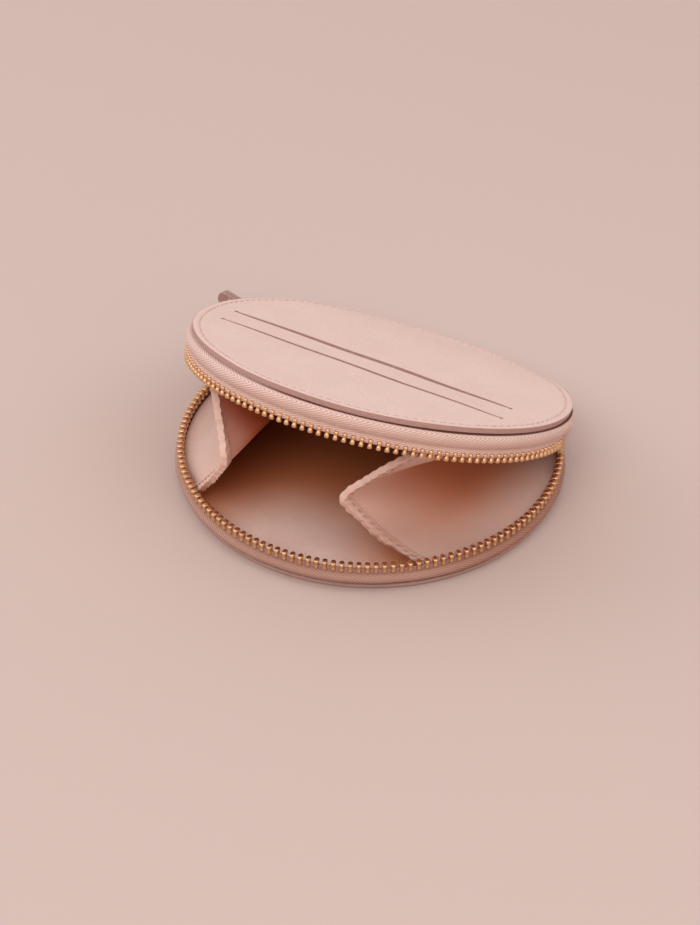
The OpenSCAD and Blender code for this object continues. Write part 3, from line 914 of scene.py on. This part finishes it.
def tape_line(size, bulge, dip, reach, bite):
    """Section of a zip tape, as radius and height: flat margin, Bezier bulge past the panel, wall.

    Also gives each point's distance across the tape, counted from the panel's edge."""
    slider_room, belly_level, sewn = 0.00015, 0.7, 0.002
    low = size.leather + SEAT
    wall = size.closed_height / 2 - size.slider_half - slider_room + reach / 2
    leaves = size.panel_radius - size.tape_exit
    knots = [
        (leaves, low),
        (size.panel_radius + bulge, low + dip),
        (size.tape_radius + size.tape_belly, mix(low, wall, belly_level)),
        (size.tape_radius, wall),
    ]
    roll = bezier(knots, np.linspace(0, 1, 22))
    margin = [(leaves - size.tape_margin, low), (leaves - sewn, low)]
    levels = np.linspace(wall, tooth_foot(size, reach) + bite, 5)[1:]
    line = np.concatenate([margin, roll, [(size.tape_radius, level) for level in levels]])
    run = run_along(line)
    return line, run - np.interp(size.panel_radius, line[:8, 0], run[:8])


def tape_sheet(size, turn, bulge, dip, reach, bite):
    """Points, map and distances across of a tape: its section carried round, with a waving bulge."""
    line, across = tape_line(size, bulge, dip, reach, bite)
    bulge_width = 0.0045
    waves = 0.00012 * np.sin(9 * turn + 1) + 0.00007 * np.sin(31 * turn)
    soft = np.sin(np.pi * np.clip(across / bulge_width, 0, 1))
    radius = line[:, 0] + waves[:, None] * soft
    uv = np.stack(np.broadcast_arrays((turn * size.tape_radius)[:, None], across), -1)
    return around(turn[:, None], radius, line[:, 1]), uv, across


def slider_turn():
    """Angle of the parked slider from the hinge, from the place of the pull's pivot."""
    return math.atan2(-pivot_at[0], pivot_at[1])


def from_hinge(turn):
    """Angle to the hinge by the shorter way round."""
    return np.minimum(turn, FULL_TURN - turn)


def zip_hold(turn):
    """Share of the lid's motion along the upper row: none at either end of the zip, all between."""
    held, freed_over = 0.06, 0.32
    return smooth((from_hinge(turn) - slider_turn() - held) / freed_over)


class PURSE_OT_zip_tapes(bpy.types.Operator):
    """Makes the two woven zip tapes, the upper one drawn down to the slider's places at both ends"""

    bl_idname = "purse.zip_tapes"
    bl_label = "Zip tapes"

    def execute(self, context):
        size = context.scene.purse_sizes
        turn = np.linspace(size.zip_end, FULL_TURN - size.zip_end, 300)
        points, uv, _ = tape_sheet(
            size, turn, size.tape_bulge, size.tape_dip, size.tape_reach, size.tape_bite
        )
        faces = quads(*points.shape[:2])
        columns = points.shape[1]
        # Painted shade on the lower tape, full on its right side, and painted shadow along its seam, darkest
        # at the front right.
        pale_to, darkest_at, gap_width = 3.85, 3.8, 0.25
        painted_shade = mix(0.75, 1.0, smooth((turn - pale_to) / 0.5))
        gap = 1.5 + 0.8 * bell(turn - darkest_at, gap_width)
        build(
            "lower_tape", (points, faces), "Herringbone tape", "zip_tape", "lower_zip_tape", "base",
            uv=uv, marks={"low": np.repeat(painted_shade, columns), "gap": np.repeat(gap, columns)},
            weld=False, thick=size.tape,
        )
        points, uv, across = tape_sheet(
            size, turn, size.lid_bulge, size.lid_dip, size.lid_reach, size.lid_bite
        )
        # Painted shadow along the upper tape's seam, faint on the lit left side.
        lit_to, end_turn, end_reach, hold_reach = 2.6, 0.04, 0.0085, 0.005
        gap = mix(0.2, 1.0, smooth((turn - lit_to) / 0.7))
        inwards = smooth((from_hinge(turn) - size.zip_end) / end_turn)
        held = smooth(across / mix(end_reach, hold_reach, inwards)[:, None])
        shares = 1 - (1 - zip_hold(turn))[:, None] * held
        points = lift(flip(points, size), size, shares)
        upper = build(
            "upper_tape", (points, faces), "Herringbone tape", "zip_tape", "upper_zip_tape",
            uv=uv, marks={"gap": np.repeat(gap, columns)}, weld=False, thick=size.tape,
        )
        bend(upper, size, shares)
        return {"FINISHED"}


def element(size, width, sides=8):
    """A zip element standing on Z: feet, a waist and a rounded head.

    Each row of the table is a level of the height and the shares of depth and width there."""
    depth, height = size.tooth_depth / 2, size.tooth_height
    feet = [(0.0, 0.7, 0.8), (0.1, 1.0, 0.96), (0.28, 0.96, 0.9)]
    waist = [(0.4, 0.88, 0.72), (0.52, 0.88, 0.74)]
    head = [(0.63, 1.0, 0.94), (0.86, 1.0, 1.0), (0.955, 0.9, 0.92), (1.0, 0.62, 0.66)]
    rings = []
    for level, deep, wide in feet + waist + head:
        outline = ring_section(sides, deep * depth, wide * width / 2, 0.7)
        rings.append(np.column_stack([outline, np.full(sides, level * height)]))
    return loft(np.stack(rings))


def element_axes(turn):
    """Axes of an element at each angle: straight out, along the tape, up."""
    out = around(turn, 1.0, 0.0)
    up = np.broadcast_to(UP, out.shape)
    return np.stack([out, np.cross(up, out), up], 1)


class PURSE_OT_zip_teeth(bpy.types.Operator):
    """Makes both rows of zip teeth, half a pitch apart, and their end stops"""

    bl_idname = "purse.zip_teeth"
    bl_label = "Zip teeth"

    def execute(self, context):
        size = context.scene.purse_sizes
        pitch = size.tooth_pitch / size.tape_radius
        stop = STOP_WIDTH / size.tape_radius
        count = (math.pi - size.zip_end - 2 * stop) / pitch
        ends = np.array([size.zip_end + stop / 2, FULL_TURN - size.zip_end - stop / 2])
        whole, between = int(count), int(count - 0.5)
        lower = np.pi + np.arange(-whole, whole + 1) * pitch
        upper = np.pi + (np.arange(-between, between) + 0.5) * pitch
        tooth, block = element(size, size.tooth_width), element(size, STOP_WIDTH)
        for row, label, shape, turn in (
            ("lower", "teeth", tooth, lower),
            ("lower", "stops", block, ends),
            ("upper", "teeth", tooth, upper),
            ("upper", "stops", block, ends),
        ):
            name, on_lid = f"{row}_{label}", row == "upper"
            foot = tooth_foot(size, size.lid_reach if on_lid else size.tape_reach)
            points, faces = repeat(shape, element_axes(turn), around(turn, size.tape_radius, foot))
            look = ("Gold plating", "zip_metal", name)
            if not on_lid:
                build(name + "_row", (points, faces), *look, "base")
                continue
            shares = np.repeat(zip_hold(turn)[:, None], points.shape[1], 1)
            points = lift(flip(points, size), size, shares)
            piece = build(name + "_row", (points, faces[:, ::-1]), *look, marks={"share": shares})
            layers = piece.data.attributes
            welded = np.empty(len(piece.data.vertices), np.float32)
            layers["share"].data.foreach_get("value", welded)
            layers.remove(layers["share"])
            bend(piece, size, welded)
        return {"FINISHED"}


class PURSE_OT_hinge_leather(bpy.types.Operator):
    """Makes the leather strip at the back, sewn under both panels and bulging out between them"""

    bl_idname = "purse.hinge_leather"
    bl_label = "Hinge leather"

    def execute(self, context):
        size = context.scene.purse_sizes
        margin, thickness, tucked, crease = 0.0045, 0.0006, 0.0003, 0.0002
        low = size.leather + SEAT
        leaves = size.panel_radius - size.tape_exit
        turn = np.linspace(-1, 1, 141) * (size.zip_end - 0.002)
        tuck = smooth((np.abs(turn) - size.zip_end + 0.085) / 0.08)
        bulge = size.strip_bulge * (1 - 0.35 * smooth((np.abs(turn) - 0.6) / 0.3))
        bulge = mix(bulge, tucked, tuck)
        base = [around(turn, r, low) for r in (leaves - margin, leaves, size.panel_radius + bulge)]
        lid = [flip(points, size) for points in base]
        for points in lid:
            points[:, 2] += lid_drop(points[:, 0], np.minimum(points[:, 1], size.panel_radius), size)
        pinch = np.clip((base[1][:, 1] - hinge_y) / (leaves - hinge_y), 0, 1)
        base[2][:, 2] -= size.strip_dip * pinch
        lid[2][:, 2] += size.strip_dip * pinch
        lid = [lift(points, size) for points in lid]
        t = np.linspace(0, 1, 29)
        arc = bezier([knot[:, None] for knot in (base[1], base[2], lid[2], lid[1])], t)
        points = np.concatenate([base[0][:, None], arc, lid[0][:, None]], 1)
        shares = np.concatenate([[0], smooth(t), [1]])
        creases = crease * np.sin(turn * 21)[:, None] * np.sin(np.pi * shares) ** 2
        points[..., :2] *= 1 + (creases / size.panel_radius)[..., None]
        points, faces = shell(points, np.full(points.shape[:2], thickness))
        # Painted shade: the strip's inner face takes the lining's browner shade colour.
        inner = np.zeros(points.shape[:3])
        inner[np.linalg.norm(points[..., :2], axis=-1).mean((1, 2)).argmin()] = 1
        strip = build(
            "hinge_leather_strip", (points, faces), "Blush leather", "leather", "hinge_strip",
            marks={"inner": inner}, weld=False,
        )
        bend(strip, size, np.broadcast_to(shares, points.shape[:3]))
        return {"FINISHED"}


def gusset_sheet(size, side, slack, spread):
    """The middle of a gusset, rows from its hem to the hinge end, each from base rim to lid rim.

    A row is two slack curves that meet in the fold, in the plane midway between base and lid; the lid's
    half is worked out in the shut purse and turned with the lid. Passes of averaging along each row
    round the fold, and uneven half waves ruffle the hem. Also gives each row's distance from the hem,
    and the distance run along the hem."""
    reach, ruffle, scallop, passes = 0.062, 0.0007, 0.0039, 40
    clear, drawn_out, drawn_up = 0.0007, 0.0010, 0.00135
    hem_rows = [0, 0.5, 1.0, 1.6, 2.2, 2.7, 3.1, 3.7]
    depth = np.concatenate([hem_rows, np.linspace(6, 62, 20)]) / 62
    raised = smooth(depth / 0.22)
    lining_top = size.leather + BOARD + size.lining
    rim_radius = size.panel_radius - size.tape_exit - LINING_GAP - size.gusset + drawn_out * raised
    rim_height = lining_top + clear + drawn_up * raised
    rim_turn = mix(size.gusset_front + side * size.gusset_lean, size.gusset_rear, depth)
    rim = around(rim_turn, rim_radius, rim_height)
    rear = np.array([-size.fold_spread / 2, size.tape_radius * math.cos(size.gusset_rear)])
    setback = size.fold_setback - side * size.fold_lean
    tip = np.array([-size.fold_gap / 2, setback - size.panel_radius])
    line = mix(tip, rear, depth[:, None])
    height = hinge_z + (hinge_y - line[:, 1]) * math.tan(size.lid_open / 2)
    fold = np.column_stack([line, height])
    t = np.linspace(0, 1, 64)
    halves = []
    for share, out, sag in zip(slack, spread, (0.30, 0.0)):
        belly = mix(fold, rim, out)
        belly[:, 2] = mix(rim[:, 2], fold[:, 2], share - sag * raised)
        halves.append(bezier([knot[:, None] for knot in (rim, belly, fold)], t))
    upper = lift(flip(halves[1], size), size)
    grid = np.concatenate([halves[0], upper[:, -2::-1]], 1)
    for _ in range(passes):
        grid[:, 1:-1] = (grid[:, :-2] + 2 * grid[:, 1:-1] + grid[:, 2:]) / 4
    run = run_along(grid[0])
    uneven = run / scallop + 0.35 * np.sin(run * 260)
    waves = 0.8 * np.abs(np.sin(np.pi * uneven)) ** 0.8 + 0.5 * np.sin(run * 420 + 1)
    waves *= smooth(np.minimum(run, run[-1] - run) / 0.008)
    fade = np.array([1.0, 0.7, 0.3])[:, None, None]
    grid[:3] += fade * (ruffle * waves)[None, :, None] * unit(grid[0] - grid[3])[None]
    grid[..., 0] *= side
    return grid, depth * reach, run


def hem_seam(grid, hem, inset, size, face):
    """Stitch places on one face of a gusset: an even run at an inset from the hem, off the leather."""
    row = np.interp(inset, hem, np.arange(len(hem)))
    k = int(row)
    line = mix(grid[k], grid[k + 1], row - k)
    run = run_along(line)
    at = np.arange(size.stitch_pitch * 1.5, run[-1] - size.stitch_pitch, size.stitch_pitch)
    places, ahead, inward = (
        np.column_stack([np.interp(at, run, values[:, axis]) for axis in range(3)])
        for values in (line, np.gradient(line, axis=0), grid[k + 2] - grid[k])
    )
    up = unit(np.cross(ahead, inward) * face)
    return places + up * (size.hem_thickness / 2), ahead, up


def gusset_marks(hem, columns, inset, warmth):
    """Marks of a gusset's two faces by distance from the hem and rise from the base rim to the fold.

    All marks are painted shade: the outside browns inwards and upwards, dulls along the hem and darkens in a
    pool;
    the inside browns and darkens inwards; both brown along the stitches, as shade in the seam."""
    rise = np.minimum(np.arange(columns) / (columns / 2), 1)
    deep = np.broadcast_to(hem[:, None], (len(hem), columns))
    outside = warmth * mix(0.1, 1.0, smooth((deep - 0.005) / 0.028)) * smooth((rise - 0.12) / 0.5)
    inside = smooth((deep - 0.003) / 0.018)
    sewn = bell(deep - inset, 0.0004) * mix(0.6, 0.2, smooth((rise - 0.4) / 0.4))
    fading = mix(1.0, 0.3, smooth((rise - 0.45) / 0.4))
    dull = warmth * (1 - smooth((deep - 0.012) / 0.03)) * fading
    painted_shade_pool = 0.3 * warmth * bell(deep - 0.038, 0.013) * smooth((rise - 0.25) / 0.4)
    return {
        "inner": np.maximum(np.stack([outside, inside]), sewn),
        "core": np.stack([painted_shade_pool, 0.8 * smooth((deep - 0.009) / 0.016)]),
        "dull": np.stack([dull, 0 * dull]),
    }


class PURSE_OT_gussets(bpy.types.Operator):
    """Makes the two folding gussets with their turned, stitched hems"""

    bl_idname = "purse.gussets"
    bl_label = "Gussets"

    def execute(self, context):
        size = context.scene.purse_sizes
        # The last value, warmth, is how strongly painted shade darkens a gusset's outside.
        for name, side, slack, spread, inset, warmth in (
            ("left_gusset", 1, (0.48, 0.46), (0.46, 0.58), 0.0017, 0.05),
            ("right_gusset", -1, (0.32, 0.45), (0.45, 0.5), 0.0015, 0.9),
        ):
            grid, hem, run = gusset_sheet(size, side, slack, spread)
            pucker = size.hem_thickness * (1 + 0.15 * np.cos(FULL_TURN * run / size.stitch_pitch))
            thins = smooth((hem - size.hem) / 0.0006)[:, None]
            points, faces = shell(grid, mix(pucker, size.gusset, thins))
            if side < 0:
                points = points[::-1]
                layer = grid[..., 0].size
                faces = (faces + layer) % (2 * layer)
            piece = build(
                name + "_leather", (points, faces), "Gusset leather", "lining", name,
                marks=gusset_marks(hem, grid.shape[1], inset, warmth), weld=False, soft=0.0003,
            )
            bend(piece, size, hinge_share(points, size))

            rows = [stitches_on(*hem_seam(grid, hem, inset, size, face), size) for face in (-1, 1)]
            thread = build(name + "_stitches", join(*rows), "Hem thread", "thread")
            welded = np.empty(len(thread.data.vertices) * 3)
            thread.data.vertices.foreach_get("co", welded)
            bend(thread, size, hinge_share(welded.reshape(-1, 3), size))
        return {"FINISHED"}


def slider_frame(points, size):
    """From the slider's own axes, X straight out and Y along the tape, to the purse."""
    turn = slider_turn()
    out = around(turn, 1.0, 0.0)
    along = np.cross(UP, out)
    middle = around(turn, size.tape_radius, hinge_z)
    return middle + points[..., :1] * out + points[..., 1:2] * along + points[..., 2:] * UP


def pull_frame(points, size):
    """From the pull's own axes, X along the pull from its pivot, to the purse."""
    c, s = math.cos(size.pull_rest), math.sin(size.pull_rest)
    x, y, z = np.moveaxis(points, -1, 0)
    reach = math.hypot(pivot_at[0], pivot_at[1]) - size.tape_radius
    return slider_frame(np.stack([x * c - y * s + reach, x * s + y * c, z], -1), size)


class PURSE_OT_slider(bpy.types.Operator):
    """Makes the zip slider: two plates with edge lips, the dividing post and the arch for the pull"""

    bl_idname = "purse.slider"
    bl_label = "Slider"

    def execute(self, context):
        size = context.scene.purse_sizes
        rounding, small_rounding, sunk = 0.0003, 0.0001, 0.0002
        half, tall, out = size.slider_length / 2, size.slider_half, size.plate_out
        channel = out - size.plate
        lip_from, lip_half, lip_inset = 0.0008, 0.0003, 0.0007
        post_half, post_inset = (0.0009, 0.0003), 0.0017
        arch_rise, arch_half, arch_section = 0.0023, 0.0030, (0.0004, 0.0012)
        outline = ring_section(32, half, tall, 0.55)
        outline[:, 1] *= 0.9 + 0.1 * outline[:, 0] / half
        lip = ring_section(16, half * 0.72, lip_half, 0.5)
        parts = [slab(outline, channel, out, rounding), slab(outline, -out, -channel, rounding)]
        for side in (-1, 1):
            low, high = sorted((side * lip_from, side * (channel + sunk)))
            points, faces = slab(lip, low, high, small_rounding)
            parts += [(points + end * (tall - lip_inset) * UP, faces) for end in (-1, 1)]
        post = ring_section(16, *post_half, 0.8)
        points, faces = slab(post, -channel - sunk, channel + sunk, small_rounding)
        parts.append((points + np.array([0, half - post_inset, 0]), faces))
        turn = np.linspace(0, np.pi, 33)
        rise, along = arch_rise * np.sin(turn) ** 0.5, -arch_half * power(np.cos(turn), 0.8)
        path = np.column_stack([out - sunk + rise, along, np.zeros_like(turn)])
        arch = sweep(path, UP, ring_section(12, *arch_section, 0.6), False)
        for name, (points, faces), node_name in (
            ("slider_shell", join(*parts), "slider_body"),
            ("slider_arch", arch, "slider_crown"),
        ):
            shape = slider_frame(points, size), faces
            build(name, shape, "Gold plating", "zip_metal", node_name, "slider")
        return {"FINISHED"}


class PURSE_OT_pull(bpy.types.Operator):
    """Makes the pull: a loop of wire and a strip of leather folded round its outer bar"""

    bl_idname = "purse.pull"
    bl_label = "Pull"

    def execute(self, context):
        size = context.scene.purse_sizes
        link_room, wire_room, straight_from = 0.0002, 0.0001, 0.0022
        tall = (size.tab_height + link_room + size.wire) / 2
        turn = np.linspace(0, FULL_TURN, 64, endpoint=False)
        x, z = size.link / 2 * (1 + power(np.cos(turn), 0.3)), tall * power(np.sin(turn), 0.3)
        path = np.column_stack([x, np.zeros_like(turn), z])
        section = ring_section(12, size.wire / 2, size.wire / 2)
        points, faces = sweep(path, np.array([0.0, 1.0, 0.0]), section, True)
        shape = pull_frame(points, size), faces
        build("pull_loop", shape, "Gold plating", "zip_metal", "pull_link", "pull")

        bend_radius = size.wire / 2 + wire_room + size.tab / 2
        wrap = np.linspace(np.pi * 0.42, np.pi * 1.58, 21)
        straight = np.linspace(size.tab_length, straight_from, 24)
        layer = size.tab / 2 + SKIN
        flat = np.full(len(straight), layer)
        x = np.concatenate([straight, bend_radius * np.cos(wrap), straight[::-1]])
        y = np.concatenate([flat, bend_radius * np.sin(wrap), -flat])
        round_end = size.tab_height / 2
        over = np.clip((x - (size.tab_length - round_end)) / round_end, 0, 1)
        half = round_end * np.sqrt(1 - over**2 * 0.96)
        level = np.linspace(-1, 1, 13)
        grid = np.stack(np.broadcast_arrays(x[:, None], y[:, None], half[:, None] * level), -1)
        grid[..., 0] += size.link
        shape = pull_frame(grid, size), quads(*grid.shape[:2])
        build(
            "pull_strap", shape, "Pull leather", "leather", "pull_tab", "pull",
            weld=False, thick=size.tab - 0.0001, soft=SOFT_EDGE,
        )
        end_room, seam_at = 0.0035, 0.0023
        at = np.arange(end_room, size.tab_length - end_room, size.stitch_pitch) + size.link
        rows = []
        for face, edge in ((-1, -1), (-1, 1), (1, -1), (1, 1)):
            off = face * (layer + size.tab / 2)
            seam = np.stack(np.broadcast_arrays(at, off, edge * seam_at), -1)
            ahead = np.broadcast_to([1.0, 0.0, 0.0], seam.shape)
            up = np.broadcast_to([0.0, float(face), 0.0], seam.shape)
            rows.append(stitches_on(seam, ahead, up, size))
        points, faces = join(*rows)
        shape = pull_frame(points, size), faces
        build("pull_stitches", shape, "Sewing thread", "thread", body="pull")
        return {"FINISHED"}


def lay_floor(scene):
    """A plain floor that fades out far from the purse."""
    mesh = bpy.data.meshes.new("floor")
    mesh.from_pydata([(-4, -4, 0), (4, -4, 0), (4, 4, 0), (-4, 4, 0)], [], [(0, 1, 2, 3)])
    material, tree, surface = start_material("Plain floor", 0.9)
    away = vector_node(tree, "LENGTH", place_of(tree), output="Value")
    inputs = {
        "Base Color": tone("floor"),
        "Specular IOR Level": 0.1,
        "Alpha": ramp(tree, away, 1.0, 0.45),
    }
    fill(tree, surface, inputs)
    mesh.materials.append(material)
    floor = bpy.data.objects.new("floor", mesh)
    scene.collection.objects.link(floor)


def set_camera(scene):
    """The camera at the angle, distance and slight roll of the photograph."""
    camera = bpy.data.cameras.new("camera")
    camera.sensor_width = 36
    camera.lens = 36 * 2500 / 925
    camera.clip_start = 0.01
    stand = bpy.data.objects.new("camera", camera)
    azimuth, elevation, roll = (math.radians(a) for a in (30.4, 38.84, 0.35))
    level = math.cos(elevation)
    back = Vector((math.sin(azimuth) * level, -math.cos(azimuth) * level, math.sin(elevation)))
    stand.location = Vector((-0.00508, -0.00291, 0)) + back * 0.7235
    stand.rotation_mode = "QUATERNION"
    aim = (-back).to_track_quat("-Z", "Y")
    stand.rotation_quaternion = aim @ Quaternion((0, 0, 1), roll)
    scene.collection.objects.link(stand)
    scene.camera = stand


def set_lamps(scene):
    """Soft panels that face the purse: name, place, width, energy and tint."""
    for name, place, width, energy, tint in (
        ("sky_panel", (-0.45, 0.35, 1.5), 1.5, 2.5, (1.0, 1.0, 1.0)),
        ("front_panel", (0.1, -1.0, 1.15), 1.0, 8.0, (1.0, 0.97, 0.94)),
        ("warm_panel", (1.2, -0.65, 0.42), 0.8, 1.9, (1.0, 0.76, 0.61)),
        ("left_panel", (-1.3, -0.2, 0.6), 1.0, 5.0, (1.0, 1.0, 1.0)),
        ("right_panel", (0.85, 0.1, 1.2), 1.0, 4.0, (1.0, 1.0, 1.0)),
    ):
        lamp = bpy.data.lights.new(name, "AREA")
        lamp.size, lamp.energy, lamp.color = width, energy, tint
        holder = bpy.data.objects.new(name, lamp)
        holder.location = place
        holder.rotation_euler = (-Vector(place)).to_track_quat("-Z", "Y").to_euler()
        scene.collection.objects.link(holder)


def set_room(scene):
    """A pale room, warmer and dimmer low down on the mouth's side, that looks like the floor itself."""
    world = bpy.data.worlds.new("pale_room")
    scene.world = world
    world.use_nodes = True
    tree = world.node_tree
    sky = tree.nodes["Background"]
    toward = node(tree, "ShaderNodeTexCoord").outputs["Generated"]
    facing = vector_node(tree, "DOT_PRODUCT", toward, (0.5, -0.87, 0.0), output="Value")
    height = node(tree, "ShaderNodeSeparateXYZ", {0: toward}).outputs[2]
    low = math_node(tree, "SUBTRACT", 1.0, ramp(tree, height, 0.2, 0.8))
    shaded = math_node(tree, "MULTIPLY", ramp(tree, facing, 0.1, 0.8), low)
    warmth = mix_colour(tree, shaded, (1.0, 0.975, 0.955, 1.0), (1.0, 0.7, 0.52, 1.0))
    fill(tree, sky, {"Strength": ramp(tree, shaded, 0.0, 1.0, 0.66, 0.28), "Color": warmth})
    seen = node(tree, "ShaderNodeBackground", {"Color": tone("floor"), "Strength": 1.0})
    path = node(tree, "ShaderNodeLightPath").outputs
    direct = math_node(tree, "MAXIMUM", path["Is Camera Ray"], path["Is Glossy Ray"])
    blend = node(tree, "ShaderNodeMixShader", {0: direct, 1: sky.outputs[0], 2: seen.outputs[0]})
    fill(tree, tree.nodes["World Output"], {"Surface": blend.outputs[0]})


class PURSE_OT_stage(bpy.types.Operator):
    """Sets up the plain floor, the soft light and the camera at the photograph's angle"""

    bl_idname = "purse.stage"
    bl_label = "Stage"

    def execute(self, context):
        for part in (lay_floor, set_camera, set_lamps, set_room):
            part(context.scene)
        context.scene.view_settings.view_transform = "Standard"
        return {"FINISHED"}


MAKERS = (
    PURSE_OT_stage,
    PURSE_OT_lid_leather,
    PURSE_OT_base_leather,
    PURSE_OT_linings,
    PURSE_OT_card_pockets,
    PURSE_OT_zip_tapes,
    PURSE_OT_zip_teeth,
    PURSE_OT_hinge_leather,
    PURSE_OT_gussets,
    PURSE_OT_slider,
    PURSE_OT_pull,
)


class PURSE_PT_pieces(bpy.types.Panel):
    """Lists the purse's pieces, sizes and colours"""

    bl_idname = "PURSE_PT_pieces"
    bl_label = "Coin purse"
    bl_space_type = "VIEW_3D"
    bl_region_type = "UI"
    bl_category = "Purse"

    def draw(self, context):
        for maker in MAKERS:
            self.layout.operator(maker.bl_idname)
        for values in (context.scene.purse_sizes, context.scene.purse_finish):
            column = self.layout.column()
            for key in type(values).__annotations__:
                column.prop(values, key)


CLASSES = (PurseSizes, PurseFinish, *MAKERS, PURSE_PT_pieces)


def register():
    for cls in CLASSES:
        bpy.utils.register_class(cls)
    bpy.types.Scene.purse_sizes = PointerProperty(type=PurseSizes)
    bpy.types.Scene.purse_finish = PointerProperty(type=PurseFinish)


def unregister():
    del bpy.types.Scene.purse_finish
    del bpy.types.Scene.purse_sizes
    for cls in reversed(CLASSES):
        bpy.utils.unregister_class(cls)


def main():
    register()
    for maker in MAKERS:
        family, name = maker.bl_idname.split(".")
        getattr(getattr(bpy.ops, family), name)()


if __name__ == "__main__":
    main()
